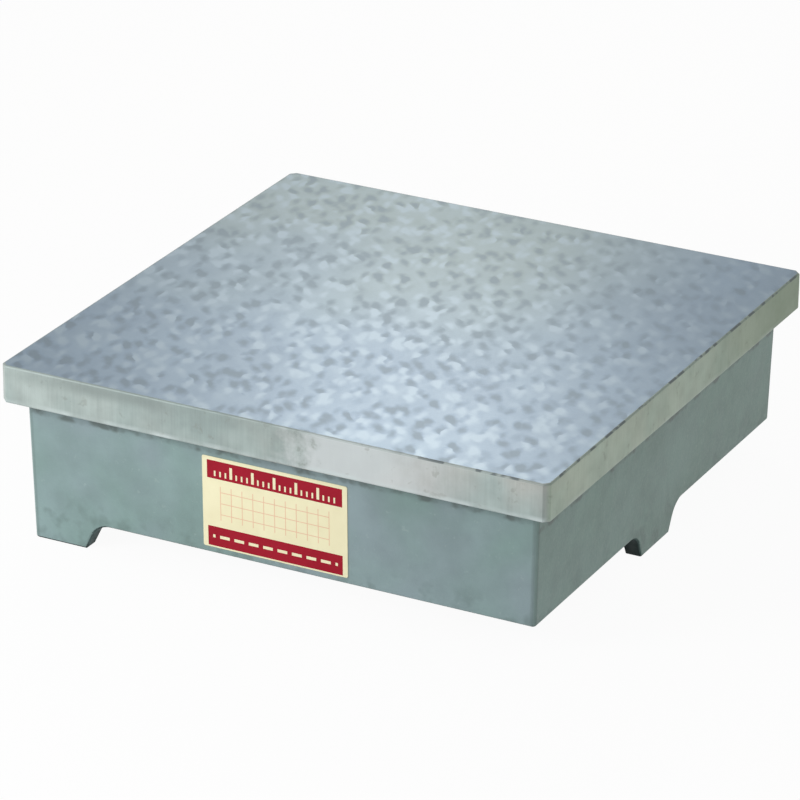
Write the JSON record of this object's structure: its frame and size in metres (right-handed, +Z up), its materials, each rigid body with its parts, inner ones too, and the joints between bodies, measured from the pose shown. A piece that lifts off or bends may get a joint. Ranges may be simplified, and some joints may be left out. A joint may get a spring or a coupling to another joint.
{
  "type": "surface plate",
  "caption": "Small box-type cast-iron surface plate with a hand-scraped top, overhanging machined rim, painted ribbed skirt on low feet, and a label on its front.",
  "frame": {"origin": "middle of the footprint, on the surface the three feet stand on", "axes": "+Z up, out of the working face; -Y towards the front wall with the label; +X towards the side with the single middle foot"},
  "size_m": [0.3, 0.3, 0.096],
  "materials": {
    "cast_iron_scraped_and_painted": "scraped bare table with a fine frosted mottle, ground rim, grey-green machine enamel on the skirt and the underside",
    "label_film": "printed film, faintly squared cream panel between two red bands, the upper one with a plain rule, satin"
  },
  "bodies": {
    "root": {"plate_casting": "cast_iron_scraped_and_painted", "label": "label_film"}
  },
  "joints": []
}
